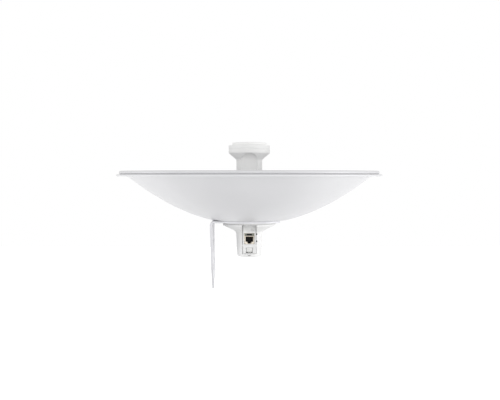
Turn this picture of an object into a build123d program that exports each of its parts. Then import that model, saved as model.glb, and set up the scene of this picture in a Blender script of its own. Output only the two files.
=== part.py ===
from build123d import *

import os
from math import cos, radians, sin

# Outdoor wireless bridge: a stamped dish reflector, a radio feed that plugs into it from the
# front, a rear housing that holds the feed, and an L-shaped alignment bracket.
#
# Everything is drawn in millimetres about the boresight: +Z runs out of the dish, -Y is the side
# of the network port, and Z = 0 is the vertex of the dish's back surface carried on to the axis.
# At export each piece is moved so that the origin is the pivot hole of the bracket's ear.

# ---- driving dimensions -------------------------------------------------------------------

DISH_FOCUS = 120.0          # focal length of the parabola
DISH_SHEET = 0.8            # steel sheet of the reflector
DISH_EDGE_R = 210.0         # outside of the rolled lip: a 420 mm dish
DISH_LIP_Z = 77.2           # middle of the sheet where the lip turns outwards
DISH_HOLE_R = 21.5
BLEND_R = 66.0              # the seat blends into the parabola out to here
BOWL_R = 189.0              # and the parabola into the lip from here
LIP_R = 195.5
ROLL_R = 1.2                # the lip's edge is rolled back inwards
TUCK_R = 0.7                # then tucked under a bead, by this much past a straight turn
TUCK_ANGLE = 60.0
BEAD_R = 2.2
TUCK_X = 204.45
TAIL_Z = 79.2
SEAT_R = 54.0               # flat seat in the middle of the dish
SEAT_Z = 7.5                # back of that seat

PLATE = 3.0                 # steel plate of the alignment bracket
PLATE_R = 58.0
PLATE_CUT_X = 48.0
EAR_X = -61.0               # outer face of the ear
BEND_INNER_R = 3.0
PIVOT_Y = 12.0
PIVOT_Z = -25.0
PIVOT_HOLE_R = 4.25         # takes an M8 bolt
ARC_R = 50.0                # elevation slot, about the pivot
ARC_WIDTH = 8.6
ARC_ANGLES = (10.0, 50.0)   # degrees off -Z towards +Y

SCREW_CIRCLE_R = 30.0       # four screws clamp dish, bracket and rear housing
SCREW_R = 1.95              # M4
SCREW_CLEARANCE_R = 2.25
SCREW_LENGTH = 12.0
SCREW_HEAD_R = 4.0
SCREW_HEAD_H = 2.7
WASHER_H = 0.8
INSERT_R = 2.8
INSERT_BORE_R = 2.0
INSERT_Z = (-2.5, 4.3)

COLLAR_R = 42.0             # rim of the trumpet-shaped collar
COLLAR_TOP_Z = 1.5
COLLAR_LOW_Z = -0.5
CONE_TOP = (41.6, -1.1)     # the cone under the collar, by radius and height
CONE_LOW = (26.0, -8.4)
CONE_CORNER = (21.0, -10.7)
BODY_TOP_Z = -15.5          # below this the housing tapers a little
HOUSING_TOP_R = 20.8
HOUSING_LOW_R = 19.4
HOUSING_CORNER_R = 3.0
HOUSING_BOTTOM_Z = -50.4
HOUSING_FLOOR_Z = -48.4
HOUSING_BORE_R = 17.0
COUNTERBORE_R = 21.2
COUNTERBORE_Z = -3.5
PORT_SLOT_HALF_W = 11.2     # slot in the front of the housing, open at the top
PORT_SLOT_LOW_Z = -45.5
SLOT_CHEEK_HALF_W = 14.5    # solid cheeks on both sides of the slot, under the collar
TOOTH_SLOT_HALF_W = 2.0
TOOTH_SLOT_Z = (-48.2, -47.2)
CATCH_HOLE_R = 1.3          # holes that a port cover's hooks would catch in
CATCH_HOLE_X = 11.5
CATCH_HOLE_Z = (-14.3, -25.6)
BOSS_WALL = 1.6
GASKET_R = (35.6, 41.5)

NECK_R = 20.6               # the feed's tube
NECK_BORE_R = 18.4
NECK_TOP_Z = 103.5
SPIGOT_Z = -2.5
FLANGE_R = 25.0
FLANGE_Z = (9.7, 12.7)
FLAT_HALF_W = 13.0          # flat panels on the front and back of the neck
FLAT_Y = 15.2
FLAT_LOW_Z = 20.0
FLAT_ARCH_Z = 101.0
CAVITY_HALF_Y = 13.0
HEAD_R = 33.0
HEAD_LOW_Z = 113.9
HEAD_FLOOR_Z = 116.0
HEAD_WALL = 2.0
SEAM_Z = 120.3
LEDGE_Z = 126.4
CAP_R = 27.3
CAP_TOP_Z = 131.4
SEAM_CHAMFER = 0.4

CARRIER_R = 16.6            # moulding that holds the port, inside the rear housing
CARRIER_BORE_R = 14.6
CARRIER_LOW_Z = -48.1
CARRIER_FLOOR_Z = -46.4
CARRIER_TOP_Z = 14.0
CARRIER_PLUG_R = 18.2
CARRIER_PLUG_Z = -3.0
COLUMN_HALF_W = 10.6        # its flat-faced column, seen through the port slot
COLUMN_Y = -16.5
COLUMN_Z = (-45.2, 1.4)
COLUMN_CLEAR_Z = 1.6        # tube and plug are cut back below this, in front of the column
LUG_HALF_W = 11.1
LUG_Z = (-34.0, -31.1)
RAMP_X = (-2.1, 9.8)        # shallow ramp at the top of the column, round the reset button
RAMP_LOW_Z = -10.3
RAMP_DEPTH = 1.3

BOARD_HALF_W = 14.5
BOARD_Y = (0.0, 1.6)
BOARD_Z = (-44.0, 100.0)
BOARD_SCREW_PLACES = ((-10.5, -40.0), (10.5, -40.0), (-10.5, 9.0), (10.5, 9.0))
BOSS_R = 2.2
BOSS_Y = 10.6
PILOT_R = 0.95
PILOT_Y = 7.2

LAMP_PLACES = (-6.0, -2.0, 2.0, 6.0)    # status lamps, seen in the housing's bottom
LAMP_HALF_W = 0.8
LAMP_WINDOW_R = 0.9
LIGHT_PIPE_HALF_W = 7.5
LIGHT_PIPE_Y = 3.0
VENT_Y = 9.0
VENT_R = 1.0
VENT_PATCH_R = 3.0

JACK_HALF_W = 8.1
JACK_Y = (-16.1, 0.0)
JACK_Z = (-30.1, -12.9)
JACK_SHEET = 0.3
JACK_GAP = 0.2
JACK_FACE_HALF_W = 7.3      # opening of the shield over the socket, for the link lamps
JACK_FACE_Z = (-17.0, -13.5)
LINK_LAMP_X = (4.3, 7.1)
LINK_LAMP_Y = (-15.7, -13.4)
LINK_LAMP_Z = (-16.6, -13.8)
SOCKET_HALF_W = 5.9         # eight-way modular socket, its key downwards
SOCKET_Z = (-26.2, -18.3)
SOCKET_BACK_Y = -4.0
KEY_STEPS = ((3.3, -27.8), (2.1, -29.2))
CONTACT_PITCH = 1.02
CONTACT_COUNT = 8
CONTACT_WIDTH = 0.45
CONTACT_THICKNESS = 0.3
CONTACT_FRONT = (-14.6, -18.9)
CONTACT_BACK_Z = -19.9

RESET_X = 5.0
RESET_Z = -8.2
RESET_STEM_R = 0.9
RESET_HEAD_R = 1.6
RESET_HOLE_R = 1.8
RESET_TRAVEL = 0.5
RESET_FLANGE_R = 2.4
RESET_HEAD_Y = (-16.0, -11.8)
RESET_FLANGE_Y = (-12.2, -11.4)
SWITCH_HALF_W = 2.3
SWITCH_Y = -2.6
SWITCH_KEY_R = 1.2
SWITCH_KEY_Y = -3.2

LATCH_HALF_W = 4.7          # release latch: pad, arm and tooth
LATCH_PAD_Y = (-16.2, -12.6)
LATCH_PAD_Z = (-42.3, -36.1)
LATCH_RIDGE_HALF_W = 3.0
LATCH_RIDGE_Z = -41.2
LATCH_RIDGE_PITCH = 1.1
LATCH_RIDGE_H = 0.45
LATCH_WINDOW_HALF_W = 5.2
LATCH_WINDOW_Z = (-43.9, -35.8)
LATCH_ARM_HALF_W = 3.0
LATCH_ARM_Y = (-13.5, -12.1)
LATCH_ARM_Z = (-47.9, -41.0)
LATCH_WAY_Y = (-15.1, -10.2)
LATCH_TOOTH_HALF_W = 1.7
LATCH_TOOTH_Y = (-16.6, -12.8)
LATCH_TOOTH_Z = (-47.9, -47.3)

DIPOLE_BOARD_R = 24.0
DIPOLE_BOARD_Z = (116.0, 117.6)
SUBREFLECTOR_R = 24.6
SUBREFLECTOR_Z = (124.8, 126.0)
SPACER_CIRCLE_R = 20.5

# ---- worked out from them -----------------------------------------------------------------

SEAT_FRONT_Z = SEAT_Z + DISH_SHEET
BRACKET_BACK_Z = SEAT_Z - PLATE
BEND_OUTER_R = BEND_INNER_R + PLATE
BEND_X = EAR_X + BEND_OUTER_R
BEND_Z = SEAT_Z - BEND_OUTER_R
PIVOT = Vector(EAR_X + PLATE / 2, PIVOT_Y, PIVOT_Z)
SCREW_ANGLES = (45.0, 135.0, 225.0, 315.0)
SCREW_HEAD_Z = SEAT_FRONT_Z + WASHER_H


# ---- helpers ------------------------------------------------------------------------------

def block(x_range, y_range, z_range):
    """A box given by its low and high limits along each axis."""
    spans = [high - low for low, high in (x_range, y_range, z_range)]
    middles = [(high + low) / 2 for low, high in (x_range, y_range, z_range)]
    return Pos(*middles) * Box(*spans)


def wide(half_width):
    """The limits of something centred on zero."""
    return (-half_width, half_width)


def rod(radius, z_range, x=0.0, y=0.0):
    """A round bar along Z."""
    low, high = z_range
    return Pos(x, y, (low + high) / 2) * Cylinder(radius, high - low)


def rod_y(radius, y_range, x, z):
    """A round bar along Y."""
    low, high = y_range
    return Pos(x, (low + high) / 2, z) * Rot(90, 0, 0) * Cylinder(radius, high - low)


def ring(inner_r, outer_r, z_range, x=0.0, y=0.0):
    """A flat ring or a sleeve about a line along Z."""
    return rod(outer_r, z_range, x, y) - rod(inner_r, z_range, x, y)


def turned(outline):
    """The solid swept by a closed outline of (radius, height) round the boresight."""
    return revolve(Plane.XZ * make_face(outline), Axis.Z)


def turned_polygon(*corners):
    """The same, from the outline's corners."""
    return turned(Polyline(*corners, close=True))


def round_the_screws(piece):
    """One copy of a piece drawn on the axis at each of the four screws."""
    copies = []
    for angle in SCREW_ANGLES:
        x = SCREW_CIRCLE_R * cos(radians(angle))
        y = SCREW_CIRCLE_R * sin(radians(angle))
        copies.append(Pos(x, y, 0) * piece)
    return copies


def cross_recess(size, depth, z_top):
    """The cross cut into the head of a screw whose head faces +Z."""
    arm = block(wide(size), wide(size / 5), (z_top - depth, z_top + 1))
    return arm + Rot(0, 0, 90) * arm


# ---- reflector and bracket ----------------------------------------------------------------

def bowl_z(radius):
    """Height of the middle of the dish's sheet on its parabola."""
    return radius**2 / (4 * DISH_FOCUS) + DISH_SHEET / 2


def bowl_slope(radius):
    """Slope of the parabola."""
    return radius / (2 * DISH_FOCUS)


def polar(centre, radius, angle):
    """The point at a distance and an angle in degrees from a centre."""
    x, y = centre
    return (x + radius * cos(radians(angle)), y + radius * sin(radians(angle)))


def reflector_dish():
    """The reflector: flat seat, parabolic bowl and a lip rolled out, back and up into a bead."""
    seat_z = SEAT_Z + DISH_SHEET / 2
    seat_corner_r = BLEND_R - (bowl_z(BLEND_R) - seat_z) / bowl_slope(BLEND_R)
    lip_corner_r = BOWL_R + (DISH_LIP_Z - bowl_z(BOWL_R)) / bowl_slope(BOWL_R)
    middle_r = (BLEND_R + BOWL_R) / 2
    middle_z = bowl_z(BLEND_R) + bowl_slope(BLEND_R) * (middle_r - BLEND_R)

    roll_x = DISH_EDGE_R - DISH_SHEET / 2 - ROLL_R
    upper_z = DISH_LIP_Z + 2 * ROLL_R
    tuck = (TUCK_X, upper_z + TUCK_R)
    tuck_end = polar(tuck, TUCK_R, 180 - TUCK_ANGLE)
    bead = polar(tuck_end, BEAD_R, 180 - TUCK_ANGLE)
    bead_end = polar(bead, BEAD_R, 180)

    path = [
        Line((DISH_HOLE_R, seat_z), (SEAT_R, seat_z)),
        Bezier((SEAT_R, seat_z), (seat_corner_r, seat_z), (BLEND_R, bowl_z(BLEND_R))),
        Bezier((BLEND_R, bowl_z(BLEND_R)), (middle_r, middle_z), (BOWL_R, bowl_z(BOWL_R))),
        Bezier((BOWL_R, bowl_z(BOWL_R)), (lip_corner_r, DISH_LIP_Z), (LIP_R, DISH_LIP_Z)),
        Line((LIP_R, DISH_LIP_Z), (roll_x, DISH_LIP_Z)),
        ThreePointArc((roll_x, DISH_LIP_Z), (roll_x + ROLL_R, DISH_LIP_Z + ROLL_R),
                      (roll_x, upper_z)),
        Line((roll_x, upper_z), (TUCK_X, upper_z)),
        ThreePointArc((TUCK_X, upper_z), polar(tuck, TUCK_R, -165), tuck_end),
        ThreePointArc(tuck_end, polar(bead, BEAD_R, 60), bead_end),
        Line(bead_end, (bead_end[0], TAIL_Z)),
    ]
    section = trace(path, line_width=DISH_SHEET)
    dish = revolve(Plane.XZ * section, Axis.Z)
    hole = rod(SCREW_CLEARANCE_R, (SEAT_Z - 1, SEAT_FRONT_Z + 1))
    return dish - round_the_screws(hole)


def ear_face():
    """Outline of the ear in the YZ plane, with its pivot hole and elevation slot."""
    corners = [(-44.0, BEND_Z), (-27.0, -21.0), (-2.0, -69.0), (26.0, -98.0), (36.0, -109.0),
               (50.0, -94.5), (90.0, -92.0), (81.0, -69.0), (59.0, -37.0), (48.0, BEND_Z)]
    radii = [0, 12, 20, 8, 3.5, 5, 5, 20, 20, 0]
    face = make_face(FilletPolyline(*corners, radius=radii, close=True))
    pivot_hole = Pos(PIVOT_Y, PIVOT_Z) * Circle(PIVOT_HOLE_R)
    start, end = ARC_ANGLES
    slot_path = CenterArc((PIVOT_Y, PIVOT_Z), ARC_R, start - 90, end - start)
    slot = SlotArc(slot_path, ARC_WIDTH)
    return face - pivot_hole - slot


def alignment_bracket():
    """An L of steel plate: a disc behind the dish and an ear that takes the pole clamp."""
    plate_z = (BRACKET_BACK_Z, SEAT_Z)
    root_y = (-44.0, 48.0)
    plate = rod(PLATE_R, plate_z) + block((BEND_X, -20.0), root_y, plate_z)
    plate &= block((BEND_X, PLATE_CUT_X), wide(2 * PLATE_R), (plate_z[0] - 1, plate_z[1] + 1))
    plate -= rod(DISH_HOLE_R + 0.5, plate_z)
    plate -= round_the_screws(rod(SCREW_CLEARANCE_R, plate_z))

    bend_line = Pos(BEND_X, sum(root_y) / 2, BEND_Z) * Rot(90, 0, 0)
    bend_width = root_y[1] - root_y[0]
    bend = bend_line * (Cylinder(BEND_OUTER_R, bend_width) - Cylinder(BEND_INNER_R, bend_width))
    bend &= block((EAR_X - 1, BEND_X), wide(2 * PLATE_R), (BEND_Z, SEAT_Z + 1))
    ear = Pos(EAR_X, 0, 0) * extrude(Plane.YZ * ear_face(), PLATE)
    return plate + bend + ear


def mounting_screws():
    """Four M4 pan-head screws, put in from the hollow side of the dish."""
    tip_z = SCREW_HEAD_Z - SCREW_LENGTH
    top_z = SCREW_HEAD_Z + SCREW_HEAD_H
    outline = Polyline((0, tip_z), (SCREW_R - 0.5, tip_z), (SCREW_R, tip_z + 0.5),
                       (SCREW_R, SCREW_HEAD_Z), (SCREW_HEAD_R, SCREW_HEAD_Z),
                       (SCREW_HEAD_R, SCREW_HEAD_Z + 1.2))
    crown = RadiusArc((SCREW_HEAD_R, SCREW_HEAD_Z + 1.2), (0, top_z), -7.0)
    axis_side = Line((0, top_z), (0, tip_z))
    screw = turned(outline + crown + axis_side) - cross_recess(2.2, 1.6, top_z)
    return Compound(round_the_screws(screw))


def mounting_washers():
    """A flat washer under each screw head."""
    washer = ring(SCREW_R + 0.2, SCREW_HEAD_R + 0.3, (SEAT_FRONT_Z, SCREW_HEAD_Z))
    return Compound(round_the_screws(washer))


def threaded_inserts():
    """Brass inserts in the rear housing's bosses."""
    insert = ring(INSERT_BORE_R, INSERT_R, INSERT_Z)
    groove = ring(INSERT_R - 0.4, INSERT_R + 1, (0.5, 1.3))
    return Compound(round_the_screws(insert - groove))


# ---- rear housing -------------------------------------------------------------------------

def rear_housing():
    """Cup that holds the feed's lower end, with a trumpet-shaped collar and a port slot."""
    corner_r = HOUSING_CORNER_R
    low_z = HOUSING_BOTTOM_Z + corner_r
    outline = [
        Line((0, HOUSING_BOTTOM_Z), (HOUSING_LOW_R - corner_r, HOUSING_BOTTOM_Z)),
        RadiusArc((HOUSING_LOW_R - corner_r, HOUSING_BOTTOM_Z), (HOUSING_LOW_R, low_z), -corner_r),
        Line((HOUSING_LOW_R, low_z), (HOUSING_TOP_R, BODY_TOP_Z)),
        Bezier((HOUSING_TOP_R, BODY_TOP_Z), CONE_CORNER, CONE_LOW),
        Line(CONE_LOW, CONE_TOP),
        Line(CONE_TOP, (COLLAR_R, COLLAR_LOW_Z)),
        Line((COLLAR_R, COLLAR_LOW_Z), (COLLAR_R, COLLAR_TOP_Z)),
        Line((COLLAR_R, COLLAR_TOP_Z), (0, COLLAR_TOP_Z)),
        Line((0, COLLAR_TOP_Z), (0, HOUSING_BOTTOM_Z)),
    ]
    envelope = turned(outline)

    hollow = turned_polygon((24.5, COLLAR_TOP_Z + 1), (39.5, COLLAR_TOP_Z + 1), (39.5, 0.2),
                            (26.5, -6.0), (24.5, -6.6))
    cheeks = block(wide(SLOT_CHEEK_HALF_W), (-COLLAR_R, 0), (CONE_LOW[1], COLLAR_TOP_Z + 1))
    shell = envelope - (hollow - cheeks)
    boss_r = INSERT_R + BOSS_WALL
    for boss in round_the_screws(rod(boss_r, (CONE_LOW[1], BRACKET_BACK_Z))):
        above = block(wide(COLLAR_R), wide(COLLAR_R), (COLLAR_TOP_Z, BRACKET_BACK_Z))
        shell += boss & (envelope + above)
    shell -= round_the_screws(rod(INSERT_R + 0.05, (INSERT_Z[0] - 0.6, BRACKET_BACK_Z + 1)))

    shell -= rod(HOUSING_BORE_R, (HOUSING_FLOOR_Z, COLLAR_TOP_Z + 1))
    shell -= rod(COUNTERBORE_R, (COUNTERBORE_Z, COLLAR_TOP_Z + 1))
    shell -= block(wide(PORT_SLOT_HALF_W), (-60, -8), (PORT_SLOT_LOW_Z, COLLAR_TOP_Z + 1))

    shell -= block(wide(TOOTH_SLOT_HALF_W), (-20, -16), TOOTH_SLOT_Z)
    for hole_z in CATCH_HOLE_Z:
        shell -= rod_y(CATCH_HOLE_R, (-20, -8), CATCH_HOLE_X, hole_z)
    for lamp_x in LAMP_PLACES:
        window_z = (HOUSING_BOTTOM_Z - 1, HOUSING_FLOOR_Z + 0.2)
        shell -= rod(LAMP_WINDOW_R, window_z, lamp_x, LIGHT_PIPE_Y)
    return shell


def collar_gasket():
    """Foam ring between the collar and the bracket."""
    return ring(GASKET_R[0], GASKET_R[1], (COLLAR_TOP_Z, BRACKET_BACK_Z))


# ---- feed: shells -------------------------------------------------------------------------

def neck_flats(depth_y, half_width, arch_z, low_z):
    """Two blocks with an arched top, one for each flat of the neck."""
    reach = HEAD_R + 1
    panel = Rectangle(2 * half_width, arch_z - low_z, align=(Align.CENTER, Align.MIN))
    panel = Pos(0, low_z) * panel + Pos(0, arch_z) * Circle(half_width)
    slab = extrude(Plane.XZ * panel, reach - depth_y)
    front = Pos(0, -depth_y, 0) * slab
    return front + Rot(0, 0, 180) * front


def feed_tube():
    """Neck, flare and lower half of the head in one moulding."""
    neck_fillet = 4.0
    corners = [(0, SPIGOT_Z), (NECK_R, SPIGOT_Z), (NECK_R, FLANGE_Z[0]), (FLANGE_R, FLANGE_Z[0]),
               (FLANGE_R, FLANGE_Z[1]), (NECK_R, FLANGE_Z[1]), (NECK_R, NECK_TOP_Z),
               (HEAD_R, HEAD_LOW_Z), (HEAD_R, SEAM_Z - SEAM_CHAMFER),
               (HEAD_R - SEAM_CHAMFER, SEAM_Z), (0, SEAM_Z)]
    radii = [0, 0.6, 0, 0, 1.0, 1.2, neck_fillet, 2.0, 0, 0, 0]
    tube = turned(FilletPolyline(*corners, radius=radii, close=True))
    tube -= neck_flats(FLAT_Y, FLAT_HALF_W, FLAT_ARCH_Z, FLAT_LOW_Z)

    cone_base_z = NECK_TOP_Z + 1.5
    cone = turned_polygon((0, CARRIER_TOP_Z), (NECK_BORE_R, CARRIER_TOP_Z),
                          (NECK_BORE_R, cone_base_z), (HEAD_R - 3.4, HEAD_LOW_Z),
                          (HEAD_R - 3.4, HEAD_FLOOR_Z), (0, HEAD_FLOOR_Z))
    slab = block(wide(HEAD_R), wide(CAVITY_HALF_Y), (CARRIER_TOP_Z, HEAD_FLOOR_Z))
    tube -= cone & slab
    tube -= rod(NECK_BORE_R, (SPIGOT_Z, CARRIER_TOP_Z + 0.3))
    tube -= rod(HEAD_R - HEAD_WALL, (HEAD_FLOOR_Z, SEAM_Z + 1))
    tube -= block(wide(PORT_SLOT_HALF_W + 0.2), (-HEAD_R, -8), (SPIGOT_Z - 1, COLUMN_CLEAR_Z))

    for side in (-1, 1):
        for low_y, high_y in ((-1.3, -0.2), (1.8, 2.9)):
            x_limits = sorted((side * 13.2, side * (NECK_BORE_R + 0.5)))
            tube += block(x_limits, (low_y, high_y), (30.0, 95.0))
    return tube


def feed_cap():
    """Upper half of the head: a stepped lid with a lip that drops into the tube's head."""
    step_fillet = 1.6
    corners = [(0, SEAM_Z), (HEAD_R - SEAM_CHAMFER, SEAM_Z), (HEAD_R, SEAM_Z + SEAM_CHAMFER),
               (HEAD_R, LEDGE_Z), (CAP_R, LEDGE_Z + 0.3), (CAP_R, CAP_TOP_Z - 0.7), (0, CAP_TOP_Z)]
    radii = [0, 0, 0, step_fillet, 0.5, step_fillet, 0]
    cap = turned(FilletPolyline(*corners, radius=radii, close=True))
    cap += rod(HEAD_R - HEAD_WALL - 0.2, (HEAD_FLOOR_Z + 1.7, SEAM_Z))
    cap -= rod(HEAD_R - HEAD_WALL - 1.8, (HEAD_FLOOR_Z + 1, SUBREFLECTOR_Z[0] - 0.4))
    cap -= rod(CAP_R - HEAD_WALL, (SUBREFLECTOR_Z[0] - 1, CAP_TOP_Z - HEAD_WALL - 0.5))
    return cap


def cap_seal():
    """Square rubber ring under the cap's lip."""
    outer = HEAD_R - HEAD_WALL - 0.2
    return ring(outer - 1.6, outer, (HEAD_FLOOR_Z, HEAD_FLOOR_Z + 1.7))


def tube_seal():
    """Rubber ring between the feed's flange and the dish."""
    return ring(DISH_HOLE_R + 0.4, FLANGE_R - 0.2, (SEAT_FRONT_Z, FLANGE_Z[0]))


# ---- feed: port carrier, latch and buttons ------------------------------------------------

def port_carrier():
    """Moulding that plugs into the tube and carries the board, the jack and the latch."""
    body = rod(CARRIER_R, (CARRIER_LOW_Z, CARRIER_PLUG_Z))
    body += rod(CARRIER_PLUG_R, (CARRIER_PLUG_Z, CARRIER_TOP_Z))
    column = block(wide(COLUMN_HALF_W), (COLUMN_Y, -4.0), COLUMN_Z)
    column = fillet(column.edges().filter_by(Axis.Z).group_by(Axis.Y)[0], 0.7)
    body += column
    body += block(wide(LUG_HALF_W), (COLUMN_Y, -8.0), LUG_Z)
    body -= block(wide(COUNTERBORE_R), (-COUNTERBORE_R, COLUMN_Y),
                  (CARRIER_PLUG_Z - 1, COLUMN_CLEAR_Z))
    body -= rod(CARRIER_BORE_R, (CARRIER_FLOOR_Z, CARRIER_TOP_Z + 1))

    body -= block(wide(JACK_HALF_W + JACK_GAP), (-20, 0),
                  (JACK_Z[0] - JACK_GAP, JACK_Z[1] + JACK_GAP))
    ramp = Polyline((COLUMN_Y - 0.01, RAMP_LOW_Z), (COLUMN_Y + RAMP_DEPTH, COLUMN_CLEAR_Z),
                    (-20, COLUMN_CLEAR_Z), (-20, RAMP_LOW_Z), close=True)
    body -= Pos(RAMP_X[0], 0, 0) * extrude(Plane.YZ * make_face(ramp), RAMP_X[1] - RAMP_X[0])
    body -= rod_y(RESET_HOLE_R, (-20, -8), RESET_X, RESET_Z)
    for hole_z in CATCH_HOLE_Z:
        body -= rod_y(CATCH_HOLE_R, (-20, -8), CATCH_HOLE_X, hole_z)

    body -= block(wide(LATCH_WINDOW_HALF_W), (-20, -8), LATCH_WINDOW_Z)
    arm_way = wide(LATCH_ARM_HALF_W + 0.3)
    body -= block(arm_way, LATCH_WAY_Y, (CARRIER_LOW_Z - 1, LATCH_WINDOW_Z[0] + 1))
    body -= block(arm_way, (-20, LATCH_WAY_Y[1]), (CARRIER_LOW_Z - 1, COLUMN_Z[0]))

    for x, z in BOARD_SCREW_PLACES:
        body += rod_y(BOSS_R, (BOARD_Y[1], BOSS_Y), x, z)
        body -= rod_y(PILOT_R, (BOARD_Y[1] - 1, PILOT_Y), x, z)
    floor_z = (CARRIER_LOW_Z - 1, CARRIER_FLOOR_Z + 1)
    body -= block(wide(LIGHT_PIPE_HALF_W + 0.2), (LIGHT_PIPE_Y - 1.2, LIGHT_PIPE_Y + 1.2), floor_z)
    body -= rod(VENT_R, floor_z, 0.0, VENT_Y)
    return body


def vent_patch():
    """Membrane over the carrier's pressure vent."""
    return rod(VENT_PATCH_R, (CARRIER_FLOOR_Z, CARRIER_FLOOR_Z + 0.3), 0.0, VENT_Y)


def release_latch():
    """Thumb pad on a springy tongue, with the tooth that locks the feed in the housing."""
    pad = block(wide(LATCH_HALF_W), LATCH_PAD_Y, LATCH_PAD_Z)
    pad = fillet(pad.edges().filter_by(Axis.Z).group_by(Axis.Y)[0], 0.5)
    for ridge in range(3):
        ridge_z = LATCH_RIDGE_Z + LATCH_RIDGE_PITCH * ridge
        ridge_y = (LATCH_PAD_Y[0] - 0.2, LATCH_PAD_Y[0] + 0.2)
        pad += block(wide(LATCH_RIDGE_HALF_W), ridge_y, (ridge_z, ridge_z + LATCH_RIDGE_H))
    arm = block(wide(LATCH_ARM_HALF_W), LATCH_ARM_Y, LATCH_ARM_Z)
    tooth = block(wide(LATCH_TOOTH_HALF_W), LATCH_TOOTH_Y, LATCH_TOOTH_Z)
    return pad + arm + tooth


def reset_button():
    """Plunger that reaches from the column's ramp to the switch on the board."""
    head = rod_y(RESET_HEAD_R, RESET_HEAD_Y, RESET_X, RESET_Z)
    flange = rod_y(RESET_FLANGE_R, RESET_FLANGE_Y, RESET_X, RESET_Z)
    stem_y = (RESET_FLANGE_Y[0], SWITCH_KEY_Y - RESET_TRAVEL)
    return head + flange + rod_y(RESET_STEM_R, stem_y, RESET_X, RESET_Z)


# ---- feed: network jack -------------------------------------------------------------------

def socket_space(y_range):
    """The opening of the socket: a wide cavity and the two steps of its key."""
    low_y, high_y = y_range
    space = block(wide(SOCKET_HALF_W), (low_y, high_y), SOCKET_Z)
    for half_width, low_z in KEY_STEPS:
        space += block(wide(half_width), (low_y, high_y), (low_z, SOCKET_Z[0] + 0.5))
    return space


def ethernet_jack_shell():
    """Folded metal shield round the jack."""
    shell = block(wide(JACK_HALF_W), JACK_Y, JACK_Z)
    inner_z = (JACK_Z[0] + JACK_SHEET, JACK_Z[1] - JACK_SHEET)
    inner_y = (JACK_Y[0] + JACK_SHEET, JACK_Y[1] + 1)
    shell -= block(wide(JACK_HALF_W - JACK_SHEET), inner_y, inner_z)
    shell -= block(wide(JACK_FACE_HALF_W), (JACK_Y[0] - 1, JACK_Y[0] + 1), JACK_FACE_Z)
    return shell - socket_space((JACK_Y[0] - 1, JACK_Y[0] + 1))


def link_lamp_space(gap):
    """The two link lamps' blocks, with a gap all round and open to the front."""
    spaces = []
    for side in (-1, 1):
        x_range = sorted(side * x for x in LINK_LAMP_X)
        spaces.append(block((x_range[0] - gap, x_range[1] + gap),
                            (LINK_LAMP_Y[0] - gap, LINK_LAMP_Y[1] + gap),
                            (LINK_LAMP_Z[0] - gap, LINK_LAMP_Z[1] + gap)))
    return spaces


def ethernet_jack_insert():
    """Plastic body of the jack."""
    gap = JACK_SHEET + 0.05
    insert = block(wide(JACK_HALF_W - gap), (JACK_Y[0] + JACK_SHEET, JACK_Y[1]),
                   (JACK_Z[0] + gap, JACK_Z[1] - gap))
    insert -= link_lamp_space(0.05)
    insert -= [Pos(0, -1, 0) * space for space in link_lamp_space(0.05)]
    return insert - socket_space((JACK_Y[0] - 1, SOCKET_BACK_Y))


def link_lamps():
    """Link and activity lamps in the top corners of the jack."""
    return Compound(link_lamp_space(0.0))


def ethernet_contacts():
    """Eight spring wires along the top of the socket."""
    front_y, front_z = CONTACT_FRONT
    strip = Polyline((front_y, front_z + CONTACT_THICKNESS),
                     (SOCKET_BACK_Y, CONTACT_BACK_Z + CONTACT_THICKNESS),
                     (SOCKET_BACK_Y, CONTACT_BACK_Z), (front_y, front_z), close=True)
    wire = extrude(Plane.YZ * make_face(strip), CONTACT_WIDTH)
    contacts = []
    for index in range(CONTACT_COUNT):
        x = (index - (CONTACT_COUNT - 1) / 2) * CONTACT_PITCH - CONTACT_WIDTH / 2
        contacts.append(Pos(x, 0, 0) * wire)
    return Compound(contacts)


# ---- feed: electronics --------------------------------------------------------------------

def main_board():
    """Radio board, from the port up to the top of the neck."""
    board = block(wide(BOARD_HALF_W), BOARD_Y, BOARD_Z)
    board = chamfer(board.edges().filter_by(Axis.Y), 1.0)
    for x, z in BOARD_SCREW_PLACES:
        board -= rod_y(1.3, (-1, 3), x, z)
    return board


def board_screws():
    """Four small screws that hold the board on the carrier's bosses."""
    screws = []
    for x, z in BOARD_SCREW_PLACES:
        shank = rod_y(PILOT_R - 0.05, (-0.2, PILOT_Y - 1), x, z)
        screws.append(shank + rod_y(BOSS_R - 0.1, (-1.4, 0.0), x, z))
    return Compound(screws)


def shield_cans():
    """Two pressed lids over the radio circuits."""
    wall = 0.3
    cans = []
    for low_z, high_z in ((16.0, 48.0), (54.0, 92.0)):
        can = block(wide(12.0), (-2.8, 0.0), (low_z, high_z))
        inner = (low_z + wall, high_z - wall)
        cans.append(can - block(wide(12.0 - wall), (-2.8 + wall, 1.0), inner))
    return Compound(cans)


def board_chips():
    """Processor, memory, radio and power-amplifier packages under the cans."""
    packages = [(-3.0, 27.0, 12.0, 12.0), (7.0, 38.0, 7.0, 10.0), (0.0, 66.0, 9.0, 9.0),
                (-6.0, 82.0, 5.0, 5.0), (6.0, 82.0, 5.0, 5.0)]
    chips = []
    for x, z, width, height in packages:
        x_range = (x - width / 2, x + width / 2)
        chips.append(block(x_range, (-1.2, 0.0), (z - height / 2, z + height / 2)))
    return Compound(chips)


def ethernet_transformer():
    """Isolating transformer behind the jack."""
    package = block(wide(7.5), (BOARD_Y[1], 7.4), (-14.0, -2.0))
    return fillet(package.edges().group_by(Axis.Y)[-1], 0.6)


def reset_switch():
    """Tact switch that the reset button presses."""
    body = block(wide(SWITCH_HALF_W), (SWITCH_Y, 0.0), wide(SWITCH_HALF_W))
    key = rod_y(SWITCH_KEY_R, (SWITCH_KEY_Y, SWITCH_Y), 0.0, 0.0)
    return Pos(RESET_X, 0, RESET_Z) * (body + key)


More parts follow.
